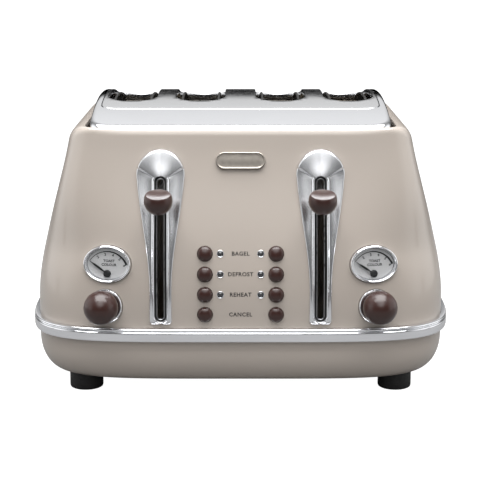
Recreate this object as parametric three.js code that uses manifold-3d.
// A four-slice pop up toaster: a pressed two-part casing with a chrome belt, an arched chrome
// top with four bread slots, and two independent toasting modules with their own controls.
// Millimetres. The front faces -Y, up is +Z, and the feet stand on z = 0.

import * as THREE from 'three';
import { mergeVertices } from 'three/addons/utils/BufferGeometryUtils.js';
import Module from 'manifold-3d';

const wasm = await Module();
wasm.setup();

// ---------------------------------------------------------------- driving dimensions

const GAP = 0.3;               // clearance between touching pieces
const WALL = 2.2;              // casing thickness
const PLAN_SEGMENTS = 36;      // points round a plan outline

// Casing: every level is a superellipse, squarer in its corners towards the top.
const BODY_HALF_X = 160.9;
const DEPTH_LESS = 22.5;       // half width less half depth, at the belt
const LOW_POWER = 5;
const HIGH_POWER = 10;
const POWER_LOW_Z = 108;       // the corners sharpen between these two heights
const POWER_HIGH_Z = 192;
// How far each wall leans in, and the heights it does so between.
const SIDE_LEAN = { inward: 31, low: 68, high: 225 };
const FRONT_LEAN = { inward: 27.4, low: 69, high: 221.5 };
const BASE_Z = 13.7;           // underside of the casing
const SPLIT_Z = 52;            // where the lower and upper shells meet, behind the belt
const SHOULDER_Z = 192;        // end of the straight wall under the rounded shoulder
const RIM_Z = 205.7;           // flat rim round the top opening
const RIM_LIP = 3;             // depth of the turned-in edge of the rim
const SHOULDER = { frontRise: 6, sideRise: 12, frontInset: 3.4, sideInset: 11.5, power: 18 };
const BASE_ROUND_X = 15;       // bottom corner, sideways
const BASE_ROUND_Z = 25;       // bottom corner, upwards
const FLANGE_HALF_X = 126;     // opening in the underside

const GLAND = { radius: 8, bore: 4, y: 134, z: 36, length: 8 };
const BELT = { low: 47, high: 57.4, proud: 4.1, bevel: 1.6 };
const FOOT = { radius: 13, x: 121, y: 98, top: 24 };

// Arched chrome top.
const TOP_POWER = 20;
const FRAME_HALF_X = 115.5;
const FRAME_HALF_Y = 105;
const FRAME_BOTTOM_Z = 199.5;
const RIM_GAP_X = 3.7;
const RIM_GAP_Y = 2.4;
const CREST_Z = 222;
const ARCH_RADIUS = 350;
const SHEET = 2.2;
const PLATE = { halfX: 109.8, front: -68, back: 96, radius: 7 };
const SLOT = { xs: [32.2, 86.6], halfWidth: 19.75, front: -45, back: 90 };

// Levers and their bezels.
const LEVER_X = 60.2;
const BEZEL = { bottomZ: 60.5, headZ: 172.1, headRadius: 18.6, neckHalf: 8.5, proud: 3.4 };
const BEZEL_FLARE = { lowZ: 86, highZ: 184, extra: 10.4 };
const LEVER_TRAVEL = 86;       // how far down each lever goes
const LEVER_SLOT = { halfWidth: 4.6, low: 63, high: 171 };
const LEVER_KNOB = {
  y: -155, z: 158, radius: 10.6, cutHeight: 4.9, dishRadius: 40, dishDepth: 1.2, socketY: 5.7, tilt: 15,
};
const ARM = { halfWidth: 1.7, low: 153, high: 161 };

// Toasting modules, as distances from the middle plane.
const CHAMBER = { inner: 9, outer: 110, front: -49, back: 93, low: 38, high: 197, sheet: 1.2 };
const GUARD_OFFSET = 16;
const GUARD = { front: -33.5, back: 78.5, low: 44.6, thickness: 1.6, wire: 2, bays: 5 };
const RACK = { low: 134, high: 138.5, front: -62, back: 84, barHalf: 2, prongHalf: 8 };
const SLIDER_RISE = 11;        // height of the slider above the rack bars
const ROD = { x: 74, y: -66, radius: 2.3, low: 40, high: 171.7 };
const SPRING = { radius: 3.8, wire: 1, turns: 5 };
const BOARDS = { front: -44, back: 88, low: 41, high: 190, thickness: 1.2, inset: 2 };
const MAGNET = { halfX: 52, low: 36, high: 39, near: 41, far: 49 };
const KEY_BOARD = { halfX: 48, low: -30, high: 33, halfThickness: 0.8, y: -122.3, z: 90 };
const TRAY = { inner: 14, outer: 104, low: 23.5, high: 33, front: -60, back: 122, sheet: 1.2 };

const TRAY_PULL = { halfX: 18, y: 142.3 };

// Front panel.
const BUTTON_X = 26.8;
const LAMP_X = 15.2;
const ROW_TOP_Z = 113.7;
const ROW_PITCH = 15.23;
const ROW_NAMES = ['bagel', 'defrost', 'reheat', 'cancel'];
const LAMP_ROWS = 3;
const BUTTON_RADIUS = 5.7;
const LAMP_RADIUS = 2.1;
const BADGE = { z: 181.8, halfX: 18.6, halfY: 6.4, thickness: 2 };

// Browning gauge and knob: one panel frame on each side, square to the casing at the gauge.
const PANEL = { x: 100.4, y: -131.5, z: 105.5, yaw: 10, lean: 8 };
const GAUGE = { halfX: 18.3, halfY: 14.2, rim: 2.3, low: -4, high: 2.2 };
const PIVOT_V = -7.2;
const NEEDLE = { length: 14, restAngle: 151 };
const KNOB = { u: 0.8, v: -31.9, w: -0.8, radius: 12.9, height: 14, flat: 2.8 };
const COLLAR_RADIUS = 13;
const GEAR = { module: 1, low: -14, high: -11, tip: 0.8, root: 1.15 };
const TEETH = { pinion: 10, idler: 10, needle: 20 };

// The knobs stand further out in front than the belt does behind, so the model is moved back
// to put the middle of its box over the origin.
const BACK_Y = BODY_HALF_X + BELT.proud - DEPTH_LESS;
const FRONT_Y = LEVER_KNOB.y - LEVER_KNOB.radius;
const CENTRING_Y = -(BACK_Y + FRONT_Y) / 2;

const SIDES = [{ name: 'left', sign: -1 }, { name: 'right', sign: 1 }];

// ---------------------------------------------------------------- materials

function material(color, roughness, metalness) {
  return new THREE.MeshStandardMaterial({ color, roughness, metalness });
}
const ENAMEL = material(0xc3b9ae, 0.25, 0.1);
const CHROME = material(0xd8d9de, 0.08, 1);
const STEEL = material(0xa9aaad, 0.35, 1);
const BROWN = material(0x3d2420, 0.3, 0);
const BLACK = material(0x141416, 0.6, 0);
const SILVER = material(0xc4c5c7, 0.45, 0.4);
const CLEAR = material(0xeef2f4, 0.05, 0);
const PEWTER = material(0x8f8579, 0.4, 0.8);
const MICA = material(0x9c8a6c, 0.7, 0);
const BOARD = material(0x2f5d3a, 0.6, 0);
const NYLON = material(0xe6e2d6, 0.5, 0);

// ---------------------------------------------------------------- geometry helpers

function radians(degrees) {
  return degrees * Math.PI / 180;
}

function smoothStep(low, high, value) {
  const t = Math.min(Math.max((value - low) / (high - low), 0), 1);
  return t * t * (3 - 2 * t);
}

// Merges shared corners and drops triangles that have collapsed to a line.
function tidied(geometry) {
  const bare = new THREE.BufferGeometry();
  bare.setAttribute('position', geometry.getAttribute('position').clone());
  bare.setIndex(geometry.getIndex());
  const merged = mergeVertices(bare, 1e-4);
  const index = merged.getIndex().array;
  const kept = [];
  for (let i = 0; i < index.length; i += 3) {
    const [a, b, c] = [index[i], index[i + 1], index[i + 2]];
    if (a !== b && b !== c && c !== a) kept.push(a, b, c);
  }
  merged.setIndex(kept);
  return merged;
}

function solidOf(geometry) {
  const clean = tidied(geometry);
  return new wasm.Manifold(new wasm.Mesh({
    numProp: 3,
    vertProperties: Float32Array.from(clean.getAttribute('position').array),
    triVerts: Uint32Array.from(clean.getIndex().array),
  }));
}

function geometryOf(solid) {
  const mesh = solid.getMesh();
  const geometry = new THREE.BufferGeometry();
  geometry.setAttribute('position', new THREE.Float32BufferAttribute(mesh.vertProperties, mesh.numProp));
  geometry.setIndex(Array.from(mesh.triVerts));
  return geometry;
}

function combine(method, first, others) {
  let solid = solidOf(first);
  for (const other of others) solid = solid[method](solidOf(other));
  return geometryOf(solid);
}

function join(first, ...others) {
  return combine('add', first, others);
}

function cut(first, ...others) {
  return combine('subtract', first, others);
}

function overlap(first, ...others) {
  return combine('intersect', first, others);
}

function box(xLow, xHigh, yLow, yHigh, zLow, zHigh) {
  const geometry = new THREE.BoxGeometry(xHigh - xLow, yHigh - yLow, zHigh - zLow);
  return geometry.translate((xLow + xHigh) / 2, (yLow + yHigh) / 2, (zLow + zHigh) / 2);
}

// A box given by distances from the middle plane, on the side of the given sign.
function sideBox(sign, near, far, yLow, yHigh, zLow, zHigh) {
  const edges = [sign * near, sign * far].sort((a, b) => a - b);
  return box(edges[0], edges[1], yLow, yHigh, zLow, zHigh);
}

// A round bar along Z.
function rod(radius, low, high, sides = 16) {
  const geometry = new THREE.CylinderGeometry(radius, radius, high - low, sides);
  return geometry.rotateX(Math.PI / 2).translate(0, 0, (low + high) / 2);
}

// Turns a profile of [radius, height] points about Z. The profile runs upwards on the outside.
function turned(profile, sides = 16) {
  const points = profile.map(([radius, height]) => new THREE.Vector2(radius, height));
  return tidied(new THREE.LatheGeometry(points, sides).rotateX(Math.PI / 2));
}

function extrudedZ(shape, low, high, curveSegments = 8) {
  const options = { depth: high - low, bevelEnabled: false, curveSegments };
  return new THREE.ExtrudeGeometry(shape, options).translate(0, 0, low);
}

// Extrudes an outline drawn in (x, z) along Y.
function extrudedY(shape, low, high, curveSegments = 8) {
  return extrudedZ(shape, 0, high - low, curveSegments).rotateX(Math.PI / 2).translate(0, high, 0);
}

// Extrudes an outline drawn in (y, z) along X.
function extrudedX(shape, low, high, curveSegments = 8) {
  const turn = new THREE.Matrix4().makeBasis(
    new THREE.Vector3(0, 1, 0), new THREE.Vector3(0, 0, 1), new THREE.Vector3(1, 0, 0));
  return extrudedZ(shape, low, high, curveSegments).applyMatrix4(turn);
}

function polygon(points) {
  return new THREE.Shape(points.map(([x, y]) => new THREE.Vector2(x, y)));
}

function ellipse(halfX, halfY) {
  return new THREE.Shape().absellipse(0, 0, halfX, halfY, 0, 2 * Math.PI);
}

// A rectangle with round ends, centred on its own middle and longer along X.
function stadium(halfX, halfY) {
  const shape = new THREE.Shape();
  shape.absarc(halfX - halfY, 0, halfY, -Math.PI / 2, Math.PI / 2);
  shape.absarc(halfY - halfX, 0, halfY, Math.PI / 2, 3 * Math.PI / 2);
  return shape;
}

// ---------------------------------------------------------------- casing form

function planRatio(angle, power = LOW_POWER) {
  const [c, s] = [Math.cos(angle), Math.sin(angle)];
  const exponent = 2 / power;
  return [Math.sign(c) * Math.abs(c) ** exponent, Math.sign(s) * Math.abs(s) ** exponent];
}

// One closed level of a lofted form.
function level(halfX, halfY, height, power = LOW_POWER) {
  return Array.from({ length: PLAN_SEGMENTS }, (_, i) => {
    const angle = 2 * Math.PI * i / PLAN_SEGMENTS;
    const [x, y] = planRatio(angle, power);
    return [halfX * x, halfY * y, height];
  });
}

function loftGeometry(levels, wraps) {
  const count = PLAN_SEGMENTS;
  const positions = levels.flat(2);
  const index = [];
  const bands = wraps ? levels.length : levels.length - 1;
  for (let k = 0; k < bands; k++) {
    const [low, high] = [k * count, ((k + 1) % levels.length) * count];
    for (let i = 0; i < count; i++) {
      const next = (i + 1) % count;
      index.push(low + i, low + next, high + next, low + i, high + next, high + i);
    }
  }
  return { positions, index };
}

function builtGeometry({ positions, index }) {
  const geometry = new THREE.BufferGeometry();
  geometry.setAttribute('position', new THREE.Float32BufferAttribute(positions, 3));
  geometry.setIndex(index);
  return geometry;
}

// A shell whose levels run up the outside, over the top and down the inside.
function loftedShell(levels) {
  return builtGeometry(loftGeometry(levels, true));
}

// A solid form from its lowest level to its highest, closed by flat ends.
function loftedSolid(levels) {
  const loft = loftGeometry(levels, false);
  const count = PLAN_SEGMENTS;
  const top = (levels.length - 1) * count;
  const lowCentre = loft.positions.length / 3;
  const highCentre = lowCentre + 1;
  loft.positions.push(0, 0, levels[0][0][2], 0, 0, levels.at(-1)[0][2]);
  for (let i = 0; i < count; i++) {
    const next = (i + 1) % count;
    loft.index.push(lowCentre, next, i, highCentre, top + i, top + next);
  }
  return builtGeometry(loft);
}

function bodyPower(z) {
  return LOW_POWER + (HIGH_POWER - LOW_POWER) * smoothStep(POWER_LOW_Z, POWER_HIGH_Z, z);
}

function wallHalfX(z) {
  return BODY_HALF_X - SIDE_LEAN.inward * smoothStep(SIDE_LEAN.low, SIDE_LEAN.high, z);
}

function wallHalfY(z) {
  return BODY_HALF_X - DEPTH_LESS - FRONT_LEAN.inward * smoothStep(FRONT_LEAN.low, FRONT_LEAN.high, z);
}

// A level of the leaning wall, moved out (or in, if negative) by an offset.
function wallLevel(z, offset = 0) {
  return level(wallHalfX(z) + offset, wallHalfY(z) + offset, z, bodyPower(z));
}

const WALL_HEIGHTS = [SPLIT_Z + GAP, ...Array.from({ length: 6 },
  (_, i) => FRONT_LEAN.low + (SHOULDER_Z - FRONT_LEAN.low) * i / 5)];

// The y of the casing's front face.
function faceY(x, z) {
  const power = bodyPower(z);
  return -wallHalfY(z) * (1 - Math.abs(x / wallHalfX(z)) ** power) ** (1 / power);
}

// How far the face leans back from upright.
function faceLean(z) {
  return Math.atan(wallHalfY(z - 0.5) - wallHalfY(z + 0.5));
}

// The rounded shoulder is taller at the sides than at the front, and squarer as it rises.
function shoulderLevel(turn) {
  const drop = 1 - Math.sin(turn);
  const inset = 1 - Math.cos(turn);
  const power = HIGH_POWER + (SHOULDER.power - HIGH_POWER) * inset;
  return Array.from({ length: PLAN_SEGMENTS }, (_, i) => {
    const angle = 2 * Math.PI * i / PLAN_SEGMENTS;
    const [x, y] = planRatio(angle, power);
    const side = Math.cos(angle) ** 2;
    const z = RIM_Z - (SHOULDER.frontRise + (SHOULDER.sideRise - SHOULDER.frontRise) * side) * drop;
    return [(wallHalfX(z) - SHOULDER.sideInset * inset) * x,
      (wallHalfY(z) - SHOULDER.frontInset * inset) * y, z];
  });
}

// ---------------------------------------------------------------- front frames

// A frame on the front face: local X to the right, Y up the face and Z outwards.
function faceMatrix(x, y, z, yaw, lean) {
  const turn = new THREE.Euler(Math.PI / 2 - lean, 0, yaw, 'ZYX');
  return new THREE.Matrix4().makeRotationFromEuler(turn).setPosition(x, y, z);
}

function panelMatrix(sign) {
  return faceMatrix(sign * PANEL.x, PANEL.y, PANEL.z, sign * radians(PANEL.yaw), radians(PANEL.lean));
}

function rowZ(row) {
  return ROW_TOP_Z - row * ROW_PITCH;
}

function rowMatrix(x, row) {
  return faceMatrix(x, faceY(x, rowZ(row)), rowZ(row), 0, faceLean(rowZ(row)));
}

function knobMatrix(sign) {
  return panelMatrix(sign).multiply(new THREE.Matrix4().makeTranslation(sign * KNOB.u, KNOB.v, KNOB.w));
}

function pivotMatrix(sign) {
  return panelMatrix(sign).multiply(new THREE.Matrix4().makeTranslation(0, PIVOT_V, 0));
}

// Cutters for everything that passes through the upper shell.
function frontCutters() {
  const cutters = [];
  for (const { sign } of SIDES) {
    const panel = panelMatrix(sign);
    const window = box(-6.5, 6.5, -150, -95, LEVER_SLOT.low - 1, LEVER_SLOT.high + 1);
    cutters.push(window.translate(sign * LEVER_X, 0, 0));
    cutters.push(ellipsePlate(-GAP, -20, 20).applyMatrix4(panel));
    cutters.push(rod(COLLAR_RADIUS + GAP, -20, 20, 20).applyMatrix4(knobMatrix(sign)));
    for (let row = 0; row < ROW_NAMES.length; row++) {
      cutters.push(rod(BUTTON_RADIUS + GAP, -8, 8, 12).applyMatrix4(rowMatrix(sign * BUTTON_X, row)));
    }
    for (let row = 0; row < LAMP_ROWS; row++) {
      cutters.push(rod(LAMP_RADIUS + GAP, -8, 8, 8).applyMatrix4(rowMatrix(sign * LAMP_X, row)));
    }
  }
  return cutters;
}

// ---------------------------------------------------------------- casing pieces

function upperShell() {
  const innerHeights = [...WALL_HEIGHTS].reverse();
  const turns = [0, 1, 2].map((step) => step * Math.PI / 4);
  const rimX = FRAME_HALF_X + RIM_GAP_X;
  const rimY = FRAME_HALF_Y + RIM_GAP_Y;
  const shell = loftedShell([
    ...WALL_HEIGHTS.map((z) => wallLevel(z)),
    ...turns.map(shoulderLevel),
    level(rimX, rimY, RIM_Z, TOP_POWER),
    level(rimX, rimY, RIM_Z - RIM_LIP, TOP_POWER),
    ...innerHeights.map((z) => wallLevel(z, -WALL)),
  ]);
  return cut(shell, ...frontCutters());
}

// The rounded bottom edge; offset moves it inwards along its own radius.
function baseRoundLevels(offset, steps = 3) {
  return Array.from({ length: steps + 1 }, (_, i) => {
    const turn = i / steps * Math.PI / 2;
    const halfX = BODY_HALF_X - BASE_ROUND_X * (1 - Math.sin(turn)) - offset * Math.sin(turn);
    const z = BASE_Z + BASE_ROUND_Z * (1 - Math.cos(turn)) + offset * Math.cos(turn);
    return level(halfX, halfX - DEPTH_LESS, z);
  });
}

function trayOpening(sign) {
  return sideBox(sign, TRAY.inner - GAP, TRAY.outer + GAP, 100, 150, TRAY.low - GAP, TRAY.high + 3);
}

function lowerShell() {
  const flange = (z) => level(FLANGE_HALF_X, FLANGE_HALF_X - DEPTH_LESS, z);
  const shell = loftedShell([
    flange(BASE_Z),
    ...baseRoundLevels(0),
    wallLevel(SPLIT_Z),
    wallLevel(SPLIT_Z, -WALL),
    ...baseRoundLevels(WALL).reverse(),
    flange(BASE_Z + WALL),
  ]);
  const gland = rod(GLAND.radius, 0, GLAND.length).rotateX(-Math.PI / 2).translate(0, GLAND.y, GLAND.z);
  const cable = rod(GLAND.bore, -10, 30, 12).rotateX(-Math.PI / 2).translate(0, GLAND.y, GLAND.z);
  return cut(join(shell, gland), cable, ...SIDES.map(({ sign }) => trayOpening(sign)));
}

function lowerSolid(offset) {
  const rounds = baseRoundLevels(-offset);
  return loftedSolid([...rounds, wallLevel(SPLIT_Z, offset)]);
}

function beltTrim() {
  const wall = wallHalfX(SPLIT_Z);
  const ring = (out, z) => level(wall + out, wall + out - DEPTH_LESS, z);
  return loftedShell([
    ring(GAP, BELT.low),
    ring(BELT.proud - 1, BELT.low),
    ring(BELT.proud, BELT.low + 1.2),
    ring(BELT.proud, BELT.high - BELT.bevel),
    ring(BELT.proud - BELT.bevel, BELT.high),
    ring(GAP, BELT.high),
  ]);
}

// Closes the underside, with two rails under each crumb tray and rows of vents between them.
function basePlate() {
  const halfX = FLANGE_HALF_X - GAP;
  const plate = loftedSolid([
    level(halfX, halfX - DEPTH_LESS, BASE_Z),
    level(halfX, halfX - DEPTH_LESS, BASE_Z + WALL),
  ]);
  const rails = [];
  const vents = [];
  for (const { sign } of SIDES) {
    for (const near of [TRAY.inner, TRAY.outer - 3]) {
      rails.push(sideBox(sign, near, near + 3, -60, 88, BASE_Z + 1, TRAY.low - GAP));
    }
    for (let i = 0; i < 5; i++) {
      vents.push(sideBox(sign, 32, 88, -54 + i * 26, -48 + i * 26, 0, BASE_Z + 10));
    }
  }
  return cut(join(plate, ...rails), ...vents);
}

// The top of each foot follows the rounded underside that it is screwed to.
function foot(signX, signY) {
  const { radius, x, y, top } = FOOT;
  const profile = [[0, 0], [radius - 2, 0], [radius, 2], [radius, top], [0, top]];
  const blank = turned(profile, 20).translate(signX * x, signY * y, 0);
  return cut(blank, lowerSolid(GAP)).translate(-signX * x, -signY * y, 0);
}

// ---------------------------------------------------------------- chrome top

// Everything under the arch, moved up or down by a lift.
function archSolid(lift) {
  const steps = 10;
  const reach = FRAME_HALF_Y + 5;
  const points = [[-reach, 150], [reach, 150]];
  for (let i = 0; i <= steps; i++) {
    const y = reach - 2 * reach * i / steps;
    points.push([y, CREST_Z + lift - y * y / (2 * ARCH_RADIUS)]);
  }
  return extrudedX(polygon(points), -130, 130);
}

function planPrism(inset, low) {
  const [halfX, halfY] = [FRAME_HALF_X - inset, FRAME_HALF_Y - inset];
  return loftedSolid([level(halfX, halfY, low, TOP_POWER), level(halfX, halfY, 235, TOP_POWER)]);
}

function plateOutline(margin) {
  const x = PLATE.halfX + margin;
  const [front, back] = [PLATE.front - margin, PLATE.back + margin];
  const corner = PLATE.radius + margin;
  const shape = new THREE.Shape();
  shape.absarc(x - corner, front + corner, corner, -Math.PI / 2, 0);
  shape.absarc(x - corner, back - corner, corner, 0, Math.PI / 2);
  shape.absarc(corner - x, back - corner, corner, Math.PI / 2, Math.PI);
  shape.absarc(corner - x, front + corner, corner, Math.PI, 3 * Math.PI / 2);
  return shape;
}

function topFrame() {
  const outer = overlap(planPrism(0, FRAME_BOTTOM_Z), archSolid(0));
  const inner = overlap(planPrism(SHEET, 180), archSolid(-SHEET));
  return cut(outer, inner, extrudedZ(plateOutline(GAP), 180, 240, 5));
}

function breadSlotPrism(x) {
  const outline = stadium((SLOT.back - SLOT.front) / 2, SLOT.halfWidth);
  const prism = extrudedZ(outline, 180, 240, 6).rotateZ(Math.PI / 2);
  return prism.translate(x, (SLOT.front + SLOT.back) / 2, 0);
}

function topPlate() {
  const blank = overlap(extrudedZ(plateOutline(0), 180, 240, 5), archSolid(0));
  const under = archSolid(-SHEET);
  const slots = SIDES.flatMap(({ sign }) => SLOT.xs.map((x) => breadSlotPrism(sign * x)));
  return cut(blank, under, ...slots);
}

// ---------------------------------------------------------------- levers

function bezelHalfWidth(z) {
  const { neckHalf, headZ, headRadius } = BEZEL;
  if (z > headZ) return Math.sqrt(Math.max(headRadius ** 2 - (z - headZ) ** 2, 0));
  return neckHalf + BEZEL_FLARE.extra * smoothStep(BEZEL_FLARE.lowZ, BEZEL_FLARE.highZ, z);
}

function bezelOutline() {
  const [low, rise] = [BEZEL.bottomZ + 3, BEZEL.headZ - BEZEL.bottomZ - 3];
  const flank = Array.from({ length: 8 }, (_, i) => low + rise * i / 7);
  const right = flank.map((z) => [bezelHalfWidth(z), z]);
  const cap = Array.from({ length: 9 }, (_, i) => {
    const turn = Math.PI * (i + 1) / 10;
    return [BEZEL.headRadius * Math.cos(turn), BEZEL.headZ + BEZEL.headRadius * Math.sin(turn)];
  });
  const left = right.map(([x, z]) => [-x, z]).reverse();
  const foot = BEZEL.neckHalf - 3;
  return polygon([[foot, BEZEL.bottomZ], ...right, ...cap, ...left, [-foot, BEZEL.bottomZ]]);
}

function leverSlotPrism() {
  const { halfWidth, low, high } = LEVER_SLOT;
  const outline = stadium((high - low) / 2, halfWidth);
  const prism = extrudedZ(outline, -160, -90, 5).rotateZ(Math.PI / 2).rotateX(Math.PI / 2);
  return prism.translate(0, -250, (low + high) / 2);
}

// A raised chrome teardrop that follows the face, with the lever's slot down its middle.
function leverBezel(sign) {
  const skin = (offset) => loftedSolid(WALL_HEIGHTS.concat(RIM_Z).map((z) => wallLevel(z, offset)));
  const outline = extrudedY(bezelOutline(), -150, -100).translate(sign * LEVER_X, 0, 0);
  const slot = leverSlotPrism().translate(sign * LEVER_X, 0, 0);
  return cut(overlap(skin(BEZEL.proud), outline), skin(GAP + 0.1), slot).translate(-sign * LEVER_X, 0, 0);
}

// A ball with a dished thumb rest cut across its top, tipped towards the user.
function leverKnob() {
  const { radius, cutHeight, dishRadius, dishDepth, socketY, tilt } = LEVER_KNOB;
  const [halfWidth, halfHeight] = [ARM.halfWidth + GAP, (ARM.high - ARM.low) / 2 + 2 * GAP];
  const ball = new THREE.SphereGeometry(radius, 14, 8).rotateX(Math.PI / 2);
  const dish = new THREE.SphereGeometry(dishRadius, 24, 16).rotateX(Math.PI / 2)
    .translate(0, 0, cutHeight + dishRadius - dishDepth);
  const socket = box(-halfWidth, halfWidth, socketY, 20, -halfHeight, halfHeight);
  const armMiddle = (ARM.low + ARM.high) / 2;
  return cut(ball, dish.rotateX(radians(tilt)), socket.translate(0, 0, armMiddle - LEVER_KNOB.z));
}

// Rack bars for two slices, the cross bar that joins them, the slider on its rod and the arm.
function carriage(sign) {
  const { low, high, front, back, barHalf, prongHalf } = RACK;
  const pieces = [
    sideBox(sign, SLOT.xs[0] - barHalf, SLOT.xs[1] + barHalf, front - 4, front, low, high),
    box(-ARM.halfWidth, ARM.halfWidth, front - 4, front, low + 1, ARM.high).translate(sign * LEVER_X, 0, 0),
    box(-ARM.halfWidth, ARM.halfWidth, LEVER_KNOB.y + 6, front - 1, ARM.low, ARM.high)
      .translate(sign * LEVER_X, 0, 0),
    sideBox(sign, ROD.x - 5, ROD.x + 5, ROD.y - 5, ROD.y + 5, low - 5, high + SLIDER_RISE),
  ];
  for (const x of SLOT.xs) {
    pieces.push(sideBox(sign, x - barHalf, x + barHalf, front - 1, back, low, high));
    for (let i = 0; i < 4; i++) {
      const y = -30 + i * 34;
      pieces.push(sideBox(sign, x - prongHalf, x + prongHalf, y - 1, y + 1, high - 3, high - 0.5));
    }
  }
  const bore = rod(ROD.radius + GAP, 0, 200, 12).translate(sign * ROD.x, ROD.y, 0);
  return cut(join(...pieces), bore);
}

function guideRod() {
  return rod(ROD.radius, ROD.low, ROD.high, 12);
}

// A closed coil round the guide rod, from the slider up to the top bracket.
function liftSpring() {
  const halfWire = SPRING.wire / 2;
  const [low, high] = [RACK.high + SLIDER_RISE + GAP + halfWire + 0.1, ROD.high - halfWire - 0.4];
  class Coil extends THREE.Curve {
    getPoint(t, target = new THREE.Vector3()) {
      const angle = 2 * Math.PI * SPRING.turns * t;
      const { radius } = SPRING;
      return target.set(radius * Math.cos(angle), radius * Math.sin(angle), low + (high - low) * t);
    }
  }
  const section = polygon([[-halfWire, -halfWire], [halfWire, -halfWire], [halfWire, halfWire],
    [-halfWire, halfWire]]);
  const steps = SPRING.turns * 8;
  return new THREE.ExtrudeGeometry(section, { steps, extrudePath: new Coil(), bevelEnabled: false });
}

// ---------------------------------------------------------------- toasting modules

// Four sheet walls round two slots, with slits for the racks and brackets for the guide rod.
function chamber(sign) {
  const { inner, outer, front, back, low, high, sheet } = CHAMBER;
  const walls = cut(
    sideBox(sign, inner, outer, front, back, low, high),
    sideBox(sign, inner + sheet, outer - sheet, front + sheet, back - sheet, low - 5, high + 5),
    ...SLOT.xs.map((x) => sideBox(sign, x - 9, x + 9, front - 5, front + 5, low + 4, RACK.high + 14)));
  const brackets = [ROD.low - GAP - 2.7, ROD.high + GAP].map((z) =>
    sideBox(sign, ROD.x - 7, ROD.x + 7, ROD.y - 7, front + 0.5, z, z + 2.7));
  return join(walls, ...brackets);
}

// Three mica boards that carry the heating wire, tied together under the slots.
function heaterRack(sign) {
  const middle = (SLOT.xs[0] + SLOT.xs[1]) / 2;
  const { front, back, low, high, thickness, inset } = BOARDS;
  const [near, far] = [CHAMBER.inner + inset, CHAMBER.outer - inset - thickness];
  const places = [near, middle - thickness / 2, far];
  const boards = places.map((x) => sideBox(sign, x, x + thickness, front, back, low, high));
  const ties = [front, back - 4].map((y) => sideBox(sign, near, far + thickness, y, y + 4, low, low + 2.6));
  return join(...boards, ...ties);
}

// The two wire guards that hold one slice upright, joined below it. Each guard is a flat grid
// with one bay between each pair of upright wires.
function guardCage() {
  const { front, back, low, thickness, wire, bays } = GUARD;
  const topZ = (y) => CREST_Z - 3 - y * y / (2 * ARCH_RADIUS);
  const crown = Array.from({ length: 5 }, (_, i) => back - (back - front) * i / 4);
  const outline = polygon([[front, low], [back, low], ...crown.map((y) => [y, topZ(y)])]);
  const grids = [-GUARD_OFFSET, GUARD_OFFSET].map((x) =>
    extrudedX(outline, x - thickness / 2, x + thickness / 2));
  const bay = (back - front - wire) / bays;
  const openings = Array.from({ length: bays }, (_, i) => {
    const [near, far] = [front + i * bay + wire, front + (i + 1) * bay];
    const [nearTop, farTop] = [topZ(near) - 3, topZ(far) - 3];
    return extrudedX(polygon([[near, low + 3], [far, low + 3], [far, farTop], [near, nearTop]]), -20, 20);
  });
  const ties = [-32, 74].map((y) => box(-GUARD_OFFSET, GUARD_OFFSET, y, y + 2.5, low, low + 2.2));
  return join(cut(join(...grids), ...openings), ...ties);
}

// A shallow pan whose end plate continues the rounded back of the casing.
function crumbTray(sign) {
  const { inner, outer, low, high, front, back, sheet } = TRAY;
  const pan = cut(
    sideBox(sign, inner, outer, front, back, low, high),
    sideBox(sign, inner + sheet, outer - sheet, front + sheet, back - 2, low + sheet, high + 5));
  const end = overlap(lowerSolid(-0.4), sideBox(sign, inner, outer, back - 1, 150, low, high + 2.6));
  const middle = (inner + outer) / 2;
  const pull = sideBox(sign, middle - TRAY_PULL.halfX, middle + TRAY_PULL.halfX, 128, TRAY_PULL.y,
    low + 4, low + 8);
  return join(pan, end, pull);
}

function magnetBracket() {
  const { halfX, low, high, near, far } = MAGNET;
  const bar = box(-halfX, halfX, -72, -60, low, high);
  const top = RACK.low - LEVER_TRAVEL - 2 * GAP;
  const cores = SIDES.map(({ sign }) => sideBox(sign, near, far, -70, -62, high - 1, top));
  return join(bar, ...cores);
}

// ---------------------------------------------------------------- buttons and lamps

function button() {
  const r = BUTTON_RADIUS;
  return turned([[0, -6], [r + 1.1, -6], [r + 1.1, -3.5], [r, -3.5], [r, 1.2], [r * 0.86, 2.6],
    [r * 0.55, 3.4], [0, 3.7]], 14);
}

// Clear lenses for both columns, moulded on one frame behind the panel.
function lampGuide() {
  const pieces = [];
  const middle = faceY(0, rowZ(1)) + 9.5;
  for (const { sign } of SIDES) {
    for (let row = 0; row < LAMP_ROWS; row++) {
      const lens = turned([[0, -10.5], [LAMP_RADIUS, -10.5], [LAMP_RADIUS, 0.5], [0, 1]], 8);
      pieces.push(lens.applyMatrix4(rowMatrix(sign * LAMP_X, row)));
    }
    const strip = box(-1.5, 1.5, -18, 18, -1.5, 1.5).applyMatrix4(
      faceMatrix(sign * LAMP_X, middle, rowZ(1), 0, radians(9.5)));
    pieces.push(strip);
  }
  pieces.push(box(-LAMP_X, LAMP_X, middle - 1.2, middle + 1.2, rowZ(1) - 1.5, rowZ(1) + 1.5));
  return join(...pieces);
}

// The printed board with one key switch behind each button.
function controlBoard() {
  const { halfX, low, high, halfThickness, y, z } = KEY_BOARD;
  const board = box(-halfX, halfX, low, high, -halfThickness, halfThickness)
    .applyMatrix4(faceMatrix(0, y, z, 0, radians(PANEL.lean)));
  const keys = [];
  for (const { sign } of SIDES) {
    for (let row = 0; row < ROW_NAMES.length; row++) {
      keys.push(box(-3, 3, -3, 3, -15.6, -8.2).applyMatrix4(rowMatrix(sign * BUTTON_X, row)));
    }
  }
  return join(board, ...keys);
}

function badgeMatrix() {
  return faceMatrix(0, faceY(0, BADGE.z), BADGE.z, 0, faceLean(BADGE.z));
}

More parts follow.
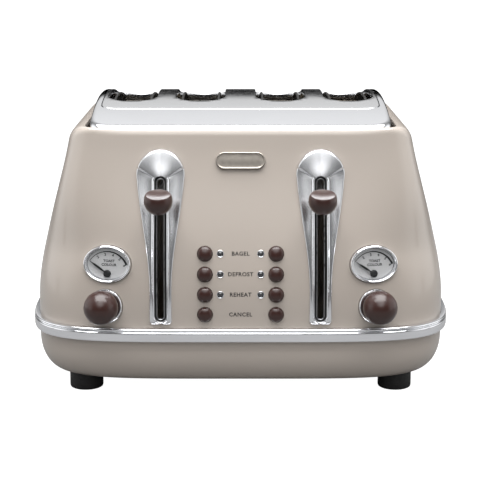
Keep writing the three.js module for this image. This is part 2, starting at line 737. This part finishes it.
function badge() {
  return extrudedZ(stadium(BADGE.halfX, BADGE.halfY), 0.5, 0.5 + BADGE.thickness, 8);
}

// ---------------------------------------------------------------- browning gauge and knob

function ellipsePlate(inset, low, high) {
  return extrudedZ(ellipse(GAUGE.halfX - inset, GAUGE.halfY - inset), low, high, 10);
}

function gaugeBezel() {
  return cut(ellipsePlate(0, GAUGE.low, GAUGE.high), ellipsePlate(GAUGE.rim, GAUGE.low - 5, GAUGE.high + 5));
}

function gaugeDial() {
  return cut(ellipsePlate(GAUGE.rim + GAP, -2.6, -1.4), rod(1.6, -5, 5, 12).translate(0, PIVOT_V, 0));
}

function gaugeLens() {
  return ellipsePlate(GAUGE.rim + GAP, 0.9, 1.8);
}

function gearOutline(teeth, phase) {
  const pitchRadius = GEAR.module * teeth / 2;
  const [tip, root] = [pitchRadius + GEAR.tip, pitchRadius - GEAR.root];
  const points = [];
  for (let i = 0; i < teeth; i++) {
    const centre = phase + 2 * Math.PI * i / teeth;
    for (const [radius, width] of [[root, -0.85], [tip, -0.32], [tip, 0.32], [root, 0.85]]) {
      const angle = centre + width / radius;
      points.push([radius * Math.cos(angle), radius * Math.sin(angle)]);
    }
  }
  return polygon(points);
}

function gear(teeth, phase) {
  return extrudedZ(gearOutline(teeth, phase), GEAR.low, GEAR.high);
}

// Where the idler sits so that it meshes with both the knob's pinion and the needle's gear.
function idlerPlace(sign) {
  const knob = new THREE.Vector2(sign * KNOB.u, KNOB.v);
  const pivot = new THREE.Vector2(0, PIVOT_V);
  const reachKnob = GEAR.module * (TEETH.pinion + TEETH.idler) / 2;
  const reachPivot = GEAR.module * (TEETH.needle + TEETH.idler) / 2;
  const line = pivot.clone().sub(knob);
  const span = line.length();
  const along = (reachKnob ** 2 - reachPivot ** 2 + span ** 2) / (2 * span);
  const aside = Math.sqrt(reachKnob ** 2 - along ** 2);
  const unit = line.normalize();
  const across = new THREE.Vector2(-sign * unit.y, sign * unit.x);
  return knob.addScaledVector(unit, along).addScaledVector(across, aside);
}

// The phase that puts a driven gear's gap on a driver's tooth, along the line between them.
function meshPhase(driverPhase, driverTeeth, drivenTeeth, from, to) {
  const direction = Math.atan2(to.y - from.y, to.x - from.x);
  const share = (direction - driverPhase) * driverTeeth / (2 * Math.PI);
  return direction + Math.PI - (0.5 - share) * 2 * Math.PI / drivenTeeth;
}

// The pointer, its hub and arbor, and the gear that turns it.
function gaugeNeedle(phase) {
  const { length, restAngle } = NEEDLE;
  const pointer = extrudedZ(polygon([[0, -0.8], [length * 0.6, -0.7], [length, 0], [length * 0.6, 0.7],
    [0, 0.8]]), -0.7, 0.1).rotateZ(radians(restAngle));
  return join(gear(TEETH.needle, phase), pointer, rod(2.7, -0.9, 0.5, 14), rod(1.2, -19, -0.5, 10));
}

function idlerGear(phase) {
  return join(gear(TEETH.idler, phase), rod(1.2, -19, -8, 10));
}

function selectorShaft(phase) {
  return join(gear(TEETH.pinion, phase), rod(2.9, -15, 8 + KNOB.w, 14), rod(1.2, -19, -14, 10));
}

function browningKnob() {
  const ball = new THREE.SphereGeometry(KNOB.radius, 16, 9).rotateX(Math.PI / 2)
    .translate(0, 0, KNOB.height);
  const below = box(-20, 20, -20, 20, -10, KNOB.flat);
  return cut(ball, below, rod(2.9 + GAP, -5, 8.4, 14));
}

function knobCollar() {
  return turned([[3.4, -3], [COLLAR_RADIUS, -3], [COLLAR_RADIUS, 1.6], [COLLAR_RADIUS - 1, 2.4],
    [3.4, 2.4], [3.4, -3]], 24);
}

function instrumentBracket(sign) {
  const plate = box(-13, 13, -40, 6, -17.6, -16);
  const idler = idlerPlace(sign);
  const holes = [[0, PIVOT_V], [idler.x, idler.y], [sign * KNOB.u, KNOB.v]];
  return cut(plate, ...holes.map(([u, v]) => rod(1.5, -25, -10, 10).translate(u, v, 0)));
}

// ---------------------------------------------------------------- assembly

function mesh(name, geometry, finish) {
  const part = new THREE.Mesh(tidied(geometry), finish);
  part.name = name;
  return part;
}

function placed(part, matrix) {
  part.applyMatrix4(matrix);
  return part;
}

function shift(x, y, z) {
  return new THREE.Matrix4().makeTranslation(x, y, z);
}

function casingGroup() {
  const group = new THREE.Group();
  group.add(
    mesh('upper_shell', upperShell(), ENAMEL),
    mesh('lower_shell', lowerShell(), ENAMEL),
    mesh('belt_trim', beltTrim(), CHROME),
    mesh('base_plate', basePlate(), BLACK),
    mesh('top_frame', topFrame(), CHROME),
    mesh('top_plate', topPlate(), CHROME),
    mesh('magnet_bracket', magnetBracket(), STEEL),
    placed(mesh('badge_plate', badge(), PEWTER), badgeMatrix()));
  for (const [end, signY] of [['front', -1], ['rear', 1]]) {
    for (const { name, sign } of SIDES) {
      const place = shift(sign * FOOT.x, signY * FOOT.y, 0);
      group.add(placed(mesh(`foot_${end}_${name}`, foot(sign, signY), BLACK), place));
    }
  }
  return group;
}

function instrumentGroup(name, sign) {
  const group = placed(new THREE.Group(), panelMatrix(sign));
  const idler = idlerPlace(sign);
  const knob = new THREE.Vector2(sign * KNOB.u, KNOB.v);
  const pivot = new THREE.Vector2(0, PIVOT_V);
  const idlerPhase = meshPhase(0, TEETH.pinion, TEETH.idler, knob, idler);
  const needlePhase = meshPhase(idlerPhase, TEETH.idler, TEETH.needle, idler, pivot);
  const knobPlace = shift(knob.x, knob.y, KNOB.w);
  group.add(
    mesh(`gauge_bezel_${name}`, gaugeBezel(), CHROME),
    mesh(`gauge_dial_${name}`, gaugeDial(), SILVER),
    mesh(`gauge_lens_${name}`, gaugeLens(), CLEAR),
    mesh(`instrument_bracket_${name}`, instrumentBracket(sign), STEEL),
    placed(mesh(`gauge_needle_${name}`, gaugeNeedle(needlePhase), BLACK), shift(pivot.x, pivot.y, 0)),
    placed(mesh(`idler_gear_${name}`, idlerGear(idlerPhase), NYLON), shift(idler.x, idler.y, 0)),
    placed(mesh(`selector_shaft_${name}`, selectorShaft(0), STEEL), shift(knob.x, knob.y, 0)),
    placed(mesh(`browning_knob_${name}`, browningKnob(), BROWN), knobPlace),
    placed(mesh(`knob_collar_${name}`, knobCollar(), CHROME), knobPlace));
  return group;
}

function leverGroup(name, sign) {
  const group = new THREE.Group();
  const knobPlace = shift(sign * LEVER_X, LEVER_KNOB.y, LEVER_KNOB.z);
  group.add(
    placed(mesh(`lever_bezel_${name}`, leverBezel(sign), CHROME), shift(sign * LEVER_X, 0, 0)),
    placed(mesh(`lever_knob_${name}`, leverKnob(), BROWN), knobPlace),
    mesh(`carriage_${name}`, carriage(sign), STEEL),
    placed(mesh(`guide_rod_${name}`, guideRod(), STEEL), shift(sign * ROD.x, ROD.y, 0)),
    placed(mesh(`lift_spring_${name}`, liftSpring(), STEEL), shift(sign * ROD.x, ROD.y, 0)));
  return group;
}

function moduleGroup(name, sign) {
  const group = new THREE.Group();
  group.add(
    mesh(`chamber_${name}`, chamber(sign), STEEL),
    mesh(`heater_rack_${name}`, heaterRack(sign), MICA),
    mesh(`crumb_tray_${name}`, crumbTray(sign), STEEL));
  SLOT.xs.forEach((x, i) => {
    const place = i === 0 ? 'inner' : 'outer';
    group.add(placed(mesh(`bread_guard_${name}_${place}`, guardCage(), STEEL), shift(sign * x, 0, 0)));
  });
  return group;
}

function panelGroup() {
  const group = new THREE.Group();
  group.add(mesh('lamp_guide', lampGuide(), CLEAR), mesh('control_board', controlBoard(), BOARD));
  for (const { name, sign } of SIDES) {
    ROW_NAMES.forEach((use, row) => {
      group.add(placed(mesh(`${use}_button_${name}`, button(), BROWN), rowMatrix(sign * BUTTON_X, row)));
    });
  }
  return group;
}

const toaster = new THREE.Group();
toaster.position.y = CENTRING_Y;
toaster.add(casingGroup(), panelGroup());
for (const { name, sign } of SIDES) {
  toaster.add(instrumentGroup(name, sign), leverGroup(name, sign), moduleGroup(name, sign));
}

export default toaster;
